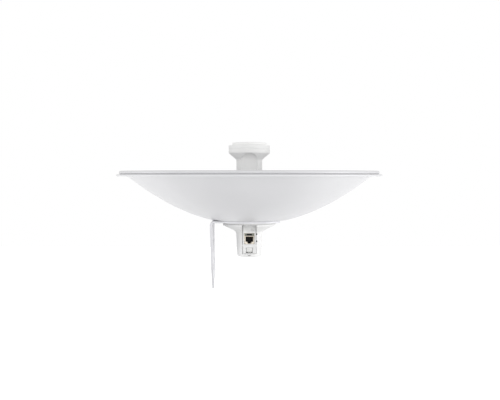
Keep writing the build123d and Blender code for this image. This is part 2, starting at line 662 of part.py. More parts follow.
def status_leds():
    """Four indicator lamps at the lower edge of the board."""
    lamps = []
    for x in LAMP_PLACES:
        lamps.append(block((x - LAMP_HALF_W, x + LAMP_HALF_W),
                           (BOARD_Y[1], BOARD_Y[1] + 1.0), (-42.6, -41.6)))
    return Compound(lamps)


def light_pipe():
    """Clear bar that carries the lamps' light to the bottom windows."""
    bar = block(wide(LIGHT_PIPE_HALF_W), (LIGHT_PIPE_Y - 1, LIGHT_PIPE_Y + 1), (-46.0, -42.8))
    for x in LAMP_PLACES:
        bar += rod(LAMP_WINDOW_R, (-48.0, -46.0), x, LIGHT_PIPE_Y)
    return bar


def heat_spreader():
    """Aluminium plate that draws heat up the neck."""
    return block(wide(12.0), (3.2, 5.2), (18.0, 97.0))


def thermal_pads():
    """Soft pads between the board and the heat spreader."""
    return Compound([block(wide(9.0), (BOARD_Y[1], 3.2), z_range)
                     for z_range in ((22.0, 44.0), (58.0, 88.0))])


# ---- feed: aerial -------------------------------------------------------------------------

def feed_coax():
    """Two rigid coaxial lines from the board up to the dipoles."""
    return Compound([rod(1.1, (BOARD_Z[1], DIPOLE_BOARD_Z[0]), x, 0.8) for x in (-6.0, 6.0)])


def dipole_board():
    """Round circuit board of the feed's dipoles."""
    return rod(DIPOLE_BOARD_R, DIPOLE_BOARD_Z)


def dipole_arms():
    """Crossed dipoles, four strips of plated copper."""
    low_z = DIPOLE_BOARD_Z[1]
    strip = block((2.0, 14.0), wide(1.8), (low_z, low_z + 0.4))
    return Compound([Rot(0, 0, 45 + 90 * quarter) * strip for quarter in range(4)])


def feed_spacers():
    """Four plastic posts that hold the sub-reflector over the dipoles."""
    z_range = (DIPOLE_BOARD_Z[1], SUBREFLECTOR_Z[0])
    post = rod(1.8, z_range, SPACER_CIRCLE_R)
    return Compound([Rot(0, 0, 90 * quarter) * post for quarter in range(4)])


def subreflector_plate():
    """Aluminium disc that sends the dipoles' wave back to the dish."""
    return rod(SUBREFLECTOR_R, SUBREFLECTOR_Z)


# ---- export -------------------------------------------------------------------------------

PIECES = [
    reflector_dish, alignment_bracket, mounting_screws, mounting_washers, threaded_inserts,
    rear_housing, collar_gasket, feed_tube, feed_cap, cap_seal, tube_seal, port_carrier,
    vent_patch, release_latch, reset_button, ethernet_jack_shell, ethernet_jack_insert,
    ethernet_contacts, link_lamps, main_board, board_screws, shield_cans, board_chips,
    ethernet_transformer, reset_switch, status_leds, light_pipe, heat_spreader, thermal_pads,
    feed_coax, dipole_board, dipole_arms, feed_spacers, subreflector_plate,
]

os.makedirs("parts", exist_ok=True)
for make_piece in PIECES:
    placed = Pos(-PIVOT) * make_piece()
    export_step(placed, f"parts/{make_piece.__name__}.step")
    print(make_piece.__name__, round(placed.volume, 1))
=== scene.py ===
"""Outdoor wireless bridge: dish reflector, plug-in radio feed, rear housing and alignment bracket.

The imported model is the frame. This script gives every piece its finish, rebuilds the visible shells
with softened edges and fine meshes, and sets up a plain pale studio.
"""

import logging
import math
from collections.abc import Iterable, Sequence
from dataclasses import dataclass
from enum import Enum

import bmesh
import bpy
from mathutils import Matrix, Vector


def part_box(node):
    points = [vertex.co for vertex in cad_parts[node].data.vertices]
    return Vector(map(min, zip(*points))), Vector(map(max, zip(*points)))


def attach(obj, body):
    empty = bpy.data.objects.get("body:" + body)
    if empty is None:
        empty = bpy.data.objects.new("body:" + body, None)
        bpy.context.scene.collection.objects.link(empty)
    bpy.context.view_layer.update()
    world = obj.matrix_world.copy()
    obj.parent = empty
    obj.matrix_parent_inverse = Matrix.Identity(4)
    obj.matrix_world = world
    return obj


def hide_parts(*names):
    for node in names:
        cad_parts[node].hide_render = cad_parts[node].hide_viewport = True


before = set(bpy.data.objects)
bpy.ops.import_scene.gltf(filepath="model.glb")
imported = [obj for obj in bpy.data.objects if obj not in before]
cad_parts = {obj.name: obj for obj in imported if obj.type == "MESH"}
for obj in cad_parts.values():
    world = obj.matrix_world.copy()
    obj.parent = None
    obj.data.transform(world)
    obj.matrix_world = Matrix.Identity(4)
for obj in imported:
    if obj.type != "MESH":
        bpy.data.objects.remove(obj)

log = logging.getLogger("wireless_bridge")

MM = 0.001
# Noise rarely leaves this middle part of its range, so the part is spread over the whole.
NOISE_LOW, NOISE_HIGH = 0.3, 0.7
# How many finer layers a finish's patches have in its colour and in its gloss.
COLOUR_DETAIL, GLOSS_DETAIL = 4.0, 6.0
# Patches of gloss are this much smaller than patches of colour.
GLOSS_DIVISOR = 3
# Points nearer than this are one point, in mm.
SAME_POINT = 0.001
# Height of the back of the dish's seat over the parabola's vertex, in mm.
SEAT_HEIGHT = 7.5

Point2 = tuple[float, float]
SocketValue = object
Tree = bpy.types.NodeTree
Socket = bpy.types.NodeSocket
Piece = bpy.types.Object
Mesh = bpy.types.Mesh
Material = bpy.types.Material


# ---- the frame ----

class Body(Enum):
    """The bodies that pieces ride on."""

    MOUNT = "mount_assembly"
    FEED = "feed"
    LATCH = "latch"
    RESET = "reset_key"


@dataclass(frozen=True)
class Boresight:
    """The dish's axis. Sizes are in millimetres from it, and heights from the parabola's vertex."""

    x: float
    y: float
    z: float

    @classmethod
    def from_frame(cls) -> "Boresight":
        """Finds the axis in the middle of the dish, whose seat is its lowest face."""
        low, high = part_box("reflector_dish")
        return cls((low[0] + high[0]) / 2, (low[1] + high[1]) / 2, low[2] - SEAT_HEIGHT * MM)

    def at(self, x: float, y: float, z: float) -> Vector:
        """Returns a point given in mm from the axis, in metres in the row frame."""
        return Vector((self.x + x * MM, self.y + y * MM, self.z + z * MM))


# ---- colour and nodes ----

def linear(hex_colour: str) -> tuple[float, float, float, float]:
    """Turns an sRGB hex colour into linear RGBA.

    Args:
        hex_colour: six hex digits after a hash.

    Returns:
        Linear red, green, blue and an alpha of one.
    """
    channels = [int(hex_colour[start:start + 2], 16) / 255 for start in (1, 3, 5)]
    red, green, blue = (c / 12.92 if c <= 0.04045 else ((c + 0.055) / 1.055) ** 2.4
                        for c in channels)
    return (red, green, blue, 1.0)


def per_metre(size_mm: float) -> float:
    """Scale of a texture whose features are size_mm across, on coordinates in metres."""
    return 1.0 / (size_mm * MM)


class Nodes:
    """A node tree that nodes are added to."""

    def __init__(self, tree: Tree) -> None:
        """Takes the tree, which starts empty."""
        self.tree = tree
        tree.nodes.clear()

    def add(self, kind: str, sockets: dict[str | int, SocketValue] | None = None,
            **settings: object) -> bpy.types.NodeOutputs:
        """Adds a node with its settings, values and links.

        Args:
            kind: the node's type name.
            sockets: input name or index, and the value or the output socket that feeds it.
            **settings: the node's own properties.

        Returns:
            The new node's outputs.
        """
        node = self.tree.nodes.new(kind)
        for name, value in settings.items():
            setattr(node, name, value)
        for key, value in (sockets or {}).items():
            if isinstance(value, Socket):
                self.tree.links.new(value, node.inputs[key])
            else:
                node.inputs[key].default_value = value
        return node.outputs

    def math(self, operation: str, first: SocketValue, second: SocketValue = 0.0) -> Socket:
        """Returns the result of one sum on numbers."""
        return self.add("ShaderNodeMath", {0: first, 1: second}, operation=operation)[0]


class Canvas(Nodes):
    """A material's tree, with the coordinates that its patterns are drawn on."""

    def __init__(self, name: str, stretch: Sequence[float] = (1.0, 1.0, 1.0)) -> None:
        """Starts the material.

        Args:
            name: the material's name.
            stretch: how much the patterns are squeezed along each axis.
        """
        self.material = bpy.data.materials.new(name)
        self.material.use_nodes = True
        super().__init__(self.material.node_tree)
        place = self.add("ShaderNodeTexCoord")["Object"]
        self.place = self.add("ShaderNodeMapping", {"Vector": place, "Scale": stretch})["Vector"]

    def noise(self, size_mm: float, detail: float) -> Socket:
        """Returns noise with features size_mm across and a number of finer layers."""
        return self.add("ShaderNodeTexNoise", {"Vector": self.place, "Detail": detail,
                                               "Scale": per_metre(size_mm)})["Fac"]

    def drift(self, size_mm: float, detail: float, low: float = 0.0,
              high: float = 1.0) -> Socket:
        """Returns a number that drifts between two limits in soft patches."""
        return self.add("ShaderNodeMapRange",
                        {"Value": self.noise(size_mm, detail), "From Min": NOISE_LOW,
                         "From Max": NOISE_HIGH, "To Min": low, "To Max": high})[0]

    def blend(self, factor: Socket, first: str, second: str) -> Socket:
        """Returns a mix of two hex colours."""
        return self.add("ShaderNodeMix", {"Factor": factor, 6: linear(first), 7: linear(second)},
                        data_type="RGBA")[2]

    def shade(self, sockets: dict[str | int, SocketValue]) -> Material:
        """Ends the tree in a principled shader and returns the material."""
        shader = self.add("ShaderNodeBsdfPrincipled", sockets)[0]
        self.add("ShaderNodeOutputMaterial", {"Surface": shader})
        return self.material


# ---- finishes ----

@dataclass(frozen=True)
class Relief:
    """One layer of surface relief, in mm."""

    size: float
    depth: float
    detail: float = 2.0


@dataclass(frozen=True)
class Finish:
    """A surface: what it is made of, how it was made, and what that gives the eye."""

    name: str
    colour: str
    shade: str
    roughness: tuple[float, float]
    reliefs: tuple[Relief, ...]
    patch_mm: float = 60.0
    metallic: float = 0.0
    ior: float = 1.5
    coat: float = 0.0
    coat_roughness: float = 0.25
    stretch: tuple[float, float, float] = (1.0, 1.0, 1.0)

    def build(self) -> Material:
        """Returns the material, made of nodes."""
        canvas = Canvas(self.name, self.stretch)
        material = canvas.shade(self.sockets(canvas))
        material.diffuse_color = linear(self.colour)
        return material

    def sockets(self, canvas: Canvas) -> dict[str | int, SocketValue]:
        """Draws what the principled shader needs.

        Args:
            canvas: where it is drawn.

        Returns:
            The shader's inputs.
        """
        sockets: dict[str | int, SocketValue] = {
            "Base Color": self.paint(canvas),
            "Roughness": canvas.drift(self.patch_mm / GLOSS_DIVISOR, GLOSS_DETAIL,
                                      *self.roughness),
            "Normal": self.relief(canvas),
            "Metallic": self.metallic,
        }
        if not self.metallic:
            sockets["IOR"] = self.ior
        if self.coat:
            sockets["Coat Weight"] = self.coat
            sockets["Coat Roughness"] = self.coat_roughness
        return sockets

    def paint(self, canvas: Canvas) -> Socket:
        """Colour that drifts between the two shades in soft patches."""
        factor = canvas.drift(self.patch_mm, COLOUR_DETAIL)
        return canvas.blend(factor, self.shade, self.colour)

    def relief(self, canvas: Canvas) -> Socket:
        """Bump from each layer of relief, one over the other.

        Args:
            canvas: where it is drawn.

        Returns:
            The surface's normal.
        """
        below: dict[str | int, SocketValue] = {}
        for layer in self.reliefs:
            normal = canvas.add("ShaderNodeBump",
                                {"Height": canvas.noise(layer.size, layer.detail),
                                 "Strength": 1.0, "Distance": layer.depth * MM, **below})[0]
            below = {"Normal": normal}
        return below["Normal"]


@dataclass(frozen=True)
class SolderMask(Finish):
    """Circuit board: glossy resin with copper tracks raised under it."""

    bundle_mm: float = 9.0
    track_mm: float = 1.6
    track_share: float = 0.55
    track_height: float = 0.04
    track: str = "#1d5c38"

    def paint(self, canvas: Canvas) -> Socket:
        """Solder mask, lighter where a track runs under it."""
        return canvas.blend(self.tracks(canvas), self.colour, self.track)

    def tracks(self, canvas: Canvas) -> Socket:
        """Square-cornered bands in the board's plane that read as bundles of tracks.

        Args:
            canvas: where they are drawn.

        Returns:
            One on a track and zero between tracks.
        """
        cells = canvas.add("ShaderNodeTexVoronoi",
                           {"Vector": canvas.place, "Scale": per_metre(self.bundle_mm)},
                           distance="CHEBYCHEV")
        bands = canvas.math("MULTIPLY", cells["Distance"], self.bundle_mm / self.track_mm)
        return canvas.math("GREATER_THAN", canvas.math("MODULO", bands, 1.0), self.track_share)

    def relief(self, canvas: Canvas) -> Socket:
        """Tracks stand a few hundredths of a millimetre proud."""
        return canvas.add("ShaderNodeBump", {"Height": self.tracks(canvas), "Strength": 1.0,
                                             "Distance": self.track_height * MM})[0]


@dataclass(frozen=True)
class ClearMoulding(Finish):
    """Clear polished plastic, with the faint waves of a moulded surface."""

    clarity: float = 0.85

    def sockets(self, canvas: Canvas) -> dict[str | int, SocketValue]:
        """What the principled shader needs, letting light through."""
        return {**super().sockets(canvas), "Transmission Weight": self.clarity}


# White polyester powder coat baked on steel: a satin skin with a soft orange peel. Real peel is
# about 1 mm across; it is drawn at 2.5 mm so that it shows on a dish this large.
DISH_COAT = Finish("powder_coated_steel_dish", "#d4d4d6", "#d0d0d2", (0.34, 0.42),
                   (Relief(2.5, 0.012), Relief(0.6, 0.002)), patch_mm=90.0, coat=0.15)
BRACKET_COAT = Finish("powder_coated_steel_plate", "#d9d9dc", "#d5d5d9", (0.36, 0.46),
                      (Relief(2.0, 0.012), Relief(0.6, 0.002)), patch_mm=40.0, coat=0.1)
# Weatherproof styrene plastic moulded in a spark-eroded tool: an even, very fine grain.
HOUSING_PLASTIC = Finish("moulded_asa_housing_white", "#e2e2e1", "#dedede", (0.42, 0.52),
                         (Relief(0.7, 0.012), Relief(12.0, 0.03)), patch_mm=30.0)
FEED_PLASTIC = Finish("moulded_asa_feed_white", "#f1f1f0", "#eeeeed", (0.44, 0.54),
                      (Relief(0.7, 0.012), Relief(14.0, 0.04)), patch_mm=35.0)
LATCH_PLASTIC = Finish("moulded_acetal_white", "#dededc", "#d9d9d7", (0.32, 0.4),
                       (Relief(0.6, 0.008),), patch_mm=6.0)
BUTTON_PLASTIC = Finish("moulded_acetal_pale_grey", "#e2e2e1", "#dcdcdc", (0.35, 0.45),
                        (Relief(0.5, 0.008),), patch_mm=4.0)
JACK_PLASTIC = Finish("moulded_nylon_black", "#0b0b0c", "#070708", (0.6, 0.75),
                      (Relief(0.5, 0.01),), patch_mm=5.0)
# Turned and tumbled stainless: rings left by the tool, drawn by squeezing the grain along Z.
STAINLESS = Finish("turned_stainless_steel", "#c9c8c5", "#bdbcb9", (0.22, 0.34),
                   (Relief(0.9, 0.01), Relief(0.25, 0.003)), patch_mm=5.0, metallic=1.0,
                   stretch=(1.0, 1.0, 4.0))
# Tin plate, pressed and folded: bright, with rolling marks along one way and a warm cast.
TIN_PLATE = Finish("pressed_tin_plated_steel", "#b9b3a9", "#a79f93", (0.24, 0.42),
                   (Relief(1.2, 0.012), Relief(0.3, 0.004)), patch_mm=5.0, metallic=1.0,
                   stretch=(1.0, 1.0, 5.0))
ALUMINIUM = Finish("rolled_aluminium_sheet", "#c6c8cb", "#bbbdc0", (0.28, 0.4),
                   (Relief(1.0, 0.01),), patch_mm=12.0, metallic=1.0, stretch=(6.0, 1.0, 1.0))
BRASS = Finish("knurled_brass", "#c9a75b", "#b8954a", (0.25, 0.38),
               (Relief(0.5, 0.03),), patch_mm=4.0, metallic=1.0)
GOLD_PLATE = Finish("gold_plated_bronze", "#e2b75a", "#d6a848", (0.16, 0.28),
                    (Relief(0.6, 0.004),), patch_mm=3.0, metallic=1.0)
FOAM = Finish("closed_cell_foam_light_grey", "#d2d2d1", "#c6c6c5", (0.8, 0.95),
              (Relief(0.8, 0.15, 4.0),), patch_mm=5.0)
SILICONE = Finish("moulded_silicone_black", "#1b1b1c", "#151516", (0.5, 0.65),
                  (Relief(0.8, 0.01),), patch_mm=8.0)
MEMBRANE = Finish("stretched_fluoropolymer_membrane", "#eeeeec", "#e2e2df", (0.7, 0.85),
                  (Relief(0.4, 0.02),), patch_mm=3.0)
THERMAL_PAD = Finish("filled_silicone_pad_blue", "#8fa3bd", "#8498b3", (0.75, 0.9),
                     (Relief(0.9, 0.04),), patch_mm=9.0)
CHIP_EPOXY = Finish("moulded_epoxy_black", "#1a1a1b", "#141415", (0.5, 0.65),
                    (Relief(0.3, 0.006),), patch_mm=4.0)
LAMP_EPOXY = Finish("cast_lamp_epoxy", "#e8ecd8", "#dfe3cf", (0.1, 0.2),
                    (Relief(1.0, 0.004),), patch_mm=2.0)
LINK_LAMP_EPOXY = Finish("tinted_lamp_epoxy_unlit", "#6c7264", "#606558", (0.15, 0.25),
                         (Relief(1.0, 0.004),), patch_mm=2.0)
BOARD = SolderMask("solder_masked_glass_epoxy", "#0e3d23", "#0e3d23", (0.25, 0.35), ())
CLEAR_PIPE = ClearMoulding("polished_polycarbonate_clear", "#f2f6f7", "#eef3f4", (0.05, 0.12),
                           (Relief(3.0, 0.01),), patch_mm=5.0, ior=1.585)
PRINTED_MARK = Finish("pad_printed_grey_ink", "#8d8f94", "#85878c", (0.5, 0.6),
                      (Relief(0.5, 0.01),), patch_mm=3.0)

NODE_FINISHES: dict[Finish, tuple[str, ...]] = {
    DISH_COAT: ("reflector_dish",),
    BRACKET_COAT: ("alignment_bracket",),
    HOUSING_PLASTIC: ("rear_housing", "port_carrier"),
    FEED_PLASTIC: ("feed_tube", "feed_cap", "feed_spacers"),
    LATCH_PLASTIC: ("release_latch",),
    BUTTON_PLASTIC: ("reset_button",),
    JACK_PLASTIC: ("ethernet_jack_insert", "reset_switch"),
    STAINLESS: ("mounting_screws", "mounting_washers", "board_screws"),
    TIN_PLATE: ("ethernet_jack_shell", "shield_cans", "feed_coax"),
    ALUMINIUM: ("heat_spreader", "subreflector_plate"),
    BRASS: ("threaded_inserts",),
    GOLD_PLATE: ("ethernet_contacts", "dipole_arms"),
    FOAM: ("collar_gasket",),
    SILICONE: ("cap_seal", "tube_seal"),
    MEMBRANE: ("vent_patch",),
    THERMAL_PAD: ("thermal_pads",),
    CHIP_EPOXY: ("board_chips", "ethernet_transformer"),
    LAMP_EPOXY: ("status_leds",),
    LINK_LAMP_EPOXY: ("link_lamps",),
    BOARD: ("main_board", "dipole_board"),
    CLEAR_PIPE: ("light_pipe",),
}


class Wardrobe:
    """Builds each finish once and hands it out."""

    def __init__(self) -> None:
        """Starts with nothing built."""
        self._built: dict[str, Material] = {}

    def get(self, finish: Finish) -> Material:
        """Returns the finish's material, building it on first use."""
        if finish.name not in self._built:
            self._built[finish.name] = finish.build()
        return self._built[finish.name]

    def dress_nodes(self) -> None:
        """Gives every CAD node its finish."""
        for finish, nodes in NODE_FINISHES.items():
            for name in nodes:
                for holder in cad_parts[name].material_slots:
                    holder.material = self.get(finish)
                log.info("finish %s on %s", finish.name, name)


# ---- mesh tools ----

def add_piece(name: str, mesh: Mesh) -> Piece:
    """Puts a mesh in the scene as an object at the origin."""
    piece = bpy.data.objects.new(name, mesh)
    bpy.context.scene.collection.objects.link(piece)
    return piece


def mesh_from(points: Iterable[Sequence[float]], faces: Iterable[Sequence[int]] = ()) -> Mesh:
    """Makes a mesh.

    Args:
        points: its points, in metres.
        faces: the points of each face, by number.

    Returns:
        The mesh.
    """
    mesh = bpy.data.meshes.new("drawn")
    mesh.from_pydata([tuple(p) for p in points], [], list(faces))
    return mesh


def tapered_bar(bottom: Point2, top: Point2, low: float, high: float) -> Mesh:
    """Makes a four-sided bar round the Z axis.

    Args:
        bottom: half its length and half its width at its foot, in mm.
        top: the same at its top.
        low: height of its foot, in mm.
        high: height of its top, in mm.

    Returns:
        The bar's mesh.
    """
    corners = [Vector((along * half_length, across * half_width, z)) * MM
               for (half_length, half_width), z in ((bottom, low), (top, high))
               for along, across in ((-1, -1), (1, -1), (1, 1), (-1, 1))]
    sides = [(i, (i + 1) % 4, (i + 1) % 4 + 4, i + 4) for i in range(4)]
    return mesh_from(corners, [(3, 2, 1, 0), (4, 5, 6, 7), *sides])


def settle(piece: Piece) -> None:
    """Turns what the modifiers give into the piece's own mesh and removes them.

    Args:
        piece: the piece with the modifiers.
    """
    depsgraph = bpy.context.evaluated_depsgraph_get()
    result = bpy.data.meshes.new_from_object(piece.evaluated_get(depsgraph), depsgraph=depsgraph)
    piece.modifiers.clear()
    piece.data = result


def cut_away(piece: Piece, tool: Piece, crossing: bool = False) -> None:
    """Cuts a closed tool's shape out of a piece.

    Args:
        piece: the piece to cut.
        tool: what cuts it.
        crossing: whether the tool's own parts cross one another.
    """
    cut = piece.modifiers.new("cut", "BOOLEAN")
    cut.operation = "DIFFERENCE"
    cut.solver = "EXACT"
    cut.use_self = crossing
    cut.object = tool
    settle(piece)


def discard(*pieces: Piece) -> None:
    """Removes pieces that were only needed to make others."""
    for piece in pieces:
        bpy.data.objects.remove(piece)


def smooth(piece: Piece, crease_degrees: float = 35.0) -> None:
    """Shades a piece smooth, with sharp edges where its faces meet at a crease.

    Args:
        piece: the piece.
        crease_degrees: the smallest angle between faces that stays sharp.
    """
    mesh = piece.data
    mesh.polygons.foreach_set("use_smooth", [True] * len(mesh.polygons))
    mesh.set_sharp_from_angle(angle=math.radians(crease_degrees))
    mesh.update()


def face_outwards(piece: Piece) -> None:
    """Recalculates a closed piece's normals.

    Args:
        piece: the closed piece.
    """
    shape = bmesh.new()
    shape.from_mesh(piece.data)
    bmesh.ops.recalc_face_normals(shape, faces=shape.faces)
    shape.to_mesh(piece.data)
    shape.free()


def wear(piece: Piece, material: Material) -> None:
    """Makes the material the piece's only one."""
    piece.data.materials.clear()
    piece.data.materials.append(material)


def hand_over(piece: Piece, body: Body, slot: str, *nodes: str) -> None:
    """Tells the frame what a finished piece rides on, and hides the nodes that it stands for.

    Args:
        piece: the finished piece.
        body: the body it moves with.
        slot: the record's material slot; not used.
        *nodes: the CAD nodes that it replaces.
    """
    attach(piece, body.value)
    if nodes:
        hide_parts(*nodes)
    triangles = sum(len(face.vertices) - 2 for face in piece.data.polygons)
    log.info("piece %s on %s: %d triangles", piece.name, body.value, triangles)


@dataclass(frozen=True)
class SoftenedShell:
    """A CAD node's shape, merged and with its edges rounded as moulding or coating leaves them."""

    node: str
    body: Body
    finish: Finish
    slot: str
    radius: float
    steps: int = 2
    edge_degrees: float = 40.0
    weld: float = 0.002
    flat_degrees: float = 0.3

    def build(self, wardrobe: Wardrobe) -> None:
        """Makes the softened piece, which replaces its node.

        Args:
            wardrobe: where the finish comes from.
        """
        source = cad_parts[self.node]
        shape = bmesh.new()
        shape.from_mesh(source.data)
        bmesh.ops.remove_doubles(shape, verts=shape.verts, dist=self.weld * MM)
        bmesh.ops.dissolve_limit(shape, angle_limit=math.radians(self.flat_degrees),
                                 verts=shape.verts, edges=shape.edges)
        mesh = bpy.data.meshes.new(self.node)
        shape.to_mesh(mesh)
        shape.free()
        piece = add_piece(f"{self.node}_shell", mesh)
        bevel = piece.modifiers.new("edge", "BEVEL")
        bevel.width = self.radius * MM
        bevel.segments = self.steps
        bevel.limit_method = "ANGLE"
        bevel.angle_limit = math.radians(self.edge_degrees)
        bevel.miter_outer = "MITER_ARC"
        bevel.use_clamp_overlap = True
        settle(piece)
        smooth(piece)
        wear(piece, wardrobe.get(self.finish))
        hand_over(piece, self.body, self.slot, self.node)


# ---- geometry nodes ----

class Graph(Nodes):
    """A geometry node tree with named inputs that ends in Realize Instances and Set Material."""

    def __init__(self, name: str, inputs: dict[str, tuple[str, object]]) -> None:
        """Starts the tree.

        Args:
            name: the tree's name.
            inputs: each input's name with its socket type and starting value.
        """
        super().__init__(bpy.data.node_groups.new(name, "GeometryNodeTree"))
        face = self.tree.interface
        face.new_socket("Geometry", in_out="INPUT", socket_type="NodeSocketGeometry")
        face.new_socket("Geometry", in_out="OUTPUT", socket_type="NodeSocketGeometry")
        for label, (kind, start) in inputs.items():
            socket = face.new_socket(label, in_out="INPUT", socket_type=kind)
            socket.default_value = start
        face.new_socket("Material", in_out="INPUT", socket_type="NodeSocketMaterial")
        self.inputs = self.add("NodeGroupInput")

    def finish(self, geometry: Socket) -> None:
        """Closes the tree: real geometry with its material.

        Args:
            geometry: what the tree has made.
        """
        real = self.add("GeometryNodeRealizeInstances", {"Geometry": geometry})[0]
        dressed = self.add("GeometryNodeSetMaterial",
                           {"Geometry": real, "Material": self.inputs["Material"]})[0]
        self.add("NodeGroupOutput", {"Geometry": dressed})

    def run(self, name: str, start: Mesh, material: Material, **values: object) -> Piece:
        """Runs the tree on a mesh and keeps the result as a plain piece.

        Args:
            name: the new piece's name.
            start: the mesh that goes in.
            material: the material that comes out on it.
            **values: the inputs' values, with _ for spaces.

        Returns:
            The piece.
        """
        piece = add_piece(name, start)
        modifier = piece.modifiers.new("made", "NODES")
        modifier.node_group = self.tree
        wanted = {key.replace("_", " "): value for key, value in values.items()}
        wanted["Material"] = material
        for item in self.tree.interface.items_tree:
            if item.in_out == "INPUT" and item.name in wanted:
                modifier[item.identifier] = wanted.pop(item.name)
        if wanted:
            raise KeyError(f"{self.tree.name} has no input {sorted(wanted)}")
        settle(piece)
        return piece


def lathe_graph() -> Graph:
    """A closed outline of (radius, height) turned round an axis.

    Returns:
        The tree, which bends a grid whose columns are turns and whose rows are outline points.
    """
    graph = Graph("turned_outline", {
        "Segments": ("NodeSocketInt", 64),
        "Outline Points": ("NodeSocketInt", 4),
        "Axis": ("NodeSocketVector", (0.0, 0.0, 0.0)),
    })
    points, segments = graph.inputs["Outline Points"], graph.inputs["Segments"]
    rows = graph.math("ADD", points, 1.0)
    columns = graph.math("ADD", segments, 1.0)
    grid = graph.add("GeometryNodeMeshGrid", {"Vertices X": columns, "Vertices Y": rows})["Mesh"]
    index = graph.add("GeometryNodeInputIndex")[0]
    # The half keeps a whole number from falling just under itself before it is rounded down.
    turn = graph.math("FLOOR", graph.math("DIVIDE", graph.math("ADD", index, 0.5), rows))
    row = graph.math("SUBTRACT", index, graph.math("MULTIPLY", turn, rows))
    step = graph.math("FLOOR", graph.math("MODULO", graph.math("ADD", row, 0.5), points))
    place = graph.add("GeometryNodeInputPosition")[0]
    found = graph.add("GeometryNodeSampleIndex",
                      {"Geometry": graph.inputs["Geometry"], "Value": place, "Index": step},
                      data_type="FLOAT_VECTOR")[0]
    parts = graph.add("ShaderNodeSeparateXYZ", {0: found})
    angle = graph.math("MULTIPLY", graph.math("DIVIDE", turn, segments), 2 * math.pi)
    x = graph.math("MULTIPLY", parts["X"], graph.math("COSINE", angle))
    y = graph.math("MULTIPLY", parts["X"], graph.math("SINE", angle))
    spot = graph.add("ShaderNodeCombineXYZ", {"X": x, "Y": y, "Z": parts["Z"]})[0]
    moved = graph.add("GeometryNodeSetPosition",
                      {"Geometry": grid, "Position": spot, "Offset": graph.inputs["Axis"]})[0]
    closed = graph.add("GeometryNodeMergeByDistance",
                       {"Geometry": moved, "Distance": SAME_POINT * MM})[0]
    graph.finish(closed)
    return graph


def arc_graph() -> Graph:
    """Copies of a piece on an arc round an axis, each turned with it.

    Returns:
        The tree. Its arc lies flat until Turn tips it, and Axis then moves it.
    """
    graph = Graph("copies_on_an_arc", {
        "Count": ("NodeSocketInt", 4),
        "Radius": ("NodeSocketFloat", 0.03),
        "First Angle": ("NodeSocketFloat", 0.0),
        "Step Angle": ("NodeSocketFloat", math.pi / 2),
        "Turn": ("NodeSocketVector", (0.0, 0.0, 0.0)),
        "Axis": ("NodeSocketVector", (0.0, 0.0, 0.0)),
    })
    line = graph.add("GeometryNodeMeshLine", {"Count": graph.inputs["Count"]})[0]
    index = graph.add("GeometryNodeInputIndex")[0]
    angle = graph.math("ADD", graph.inputs["First Angle"],
                       graph.math("MULTIPLY", index, graph.inputs["Step Angle"]))
    x = graph.math("MULTIPLY", graph.inputs["Radius"], graph.math("COSINE", angle))
    y = graph.math("MULTIPLY", graph.inputs["Radius"], graph.math("SINE", angle))
    spot = graph.add("ShaderNodeCombineXYZ", {"X": x, "Y": y})[0]
    points = graph.add("GeometryNodeSetPosition", {"Geometry": line, "Position": spot})[0]
    turned = graph.add("ShaderNodeCombineXYZ", {"Z": angle})[0]
    copies = graph.add("GeometryNodeInstanceOnPoints",
                       {"Points": points, "Instance": graph.inputs["Geometry"],
                        "Rotation": turned})[0]
    placed = graph.add("GeometryNodeTransform",
                       {"Geometry": copies, "Translation": graph.inputs["Axis"],
                        "Rotation": graph.inputs["Turn"]})[0]
    graph.finish(placed)
    return graph


def row_graph() -> Graph:
    """Copies of a piece in a straight row.

    Returns:
        The tree, whose row begins at Start.
    """
    graph = Graph("copies_in_a_row", {
        "Count": ("NodeSocketInt", 8),
        "Start": ("NodeSocketVector", (0.0, 0.0, 0.0)),
        "Step": ("NodeSocketVector", (0.001, 0.0, 0.0)),
    })
    line = graph.add("GeometryNodeMeshLine",
                     {"Count": graph.inputs["Count"], "Start Location": graph.inputs["Start"],
                      "Offset": graph.inputs["Step"]})[0]
    copies = graph.add("GeometryNodeInstanceOnPoints",
                       {"Points": line, "Instance": graph.inputs["Geometry"]})[0]
    graph.finish(copies)
    return graph


# ---- outlines ----

def on_circle(centre: Point2, radius: float, degrees: float) -> Point2:
    """Returns the point of a circle at an angle."""
    angle = math.radians(degrees)
    return (centre[0] + radius * math.cos(angle), centre[1] + radius * math.sin(angle))


def arc_points(centre: Point2, radius: float, start: float, end: float,
               count: int) -> list[Point2]:
    """Draws an arc.

    Args:
        centre: its centre.
        radius: its radius.
        start: its first angle, in degrees.
        end: its last angle.
        count: how many steps it has.

    Returns:
        The arc's points, with both ends.
    """
    return [on_circle(centre, radius, start + (end - start) * index / count)
            for index in range(count + 1)]


def bend_points(start: Point2, corner: Point2, end: Point2, count: int) -> list[Point2]:
    """Draws the parabola that touches two lines which meet at a corner.

    Args:
        start: where it leaves the first line.
        corner: where the lines meet.
        end: where it joins the second line.
        count: how many steps it has.

    Returns:
        The parabola's points, with both ends.
    """
    points = []
    for index in range(count + 1):
        t = index / count
        weights = ((1 - t) ** 2, 2 * t * (1 - t), t ** 2)
        points.append(tuple(sum(w * p[axis] for w, p in zip(weights, (start, corner, end)))
                            for axis in (0, 1)))
    return points


def sheet_outline(path: Sequence[Point2], thickness: float) -> list[Point2]:
    """Draws the closed outline of a sheet bent along a path.

    Args:
        path: points along the middle of the sheet.
        thickness: the sheet's thickness.

    Returns:
        The points of one side, then those of the other side, backwards.
    """
    sides: tuple[list[Point2], list[Point2]] = ([], [])
    for index, (x, y) in enumerate(path):
        before = path[max(index - 1, 0)]
        after = path[min(index + 1, len(path) - 1)]
        run, rise = after[0] - before[0], after[1] - before[1]
        length = math.hypot(run, rise)
        for side, sign in zip(sides, (1, -1)):
            side.append((x + sign * rise / length * thickness / 2,
                         y - sign * run / length * thickness / 2))
    return sides[0] + sides[1][::-1]


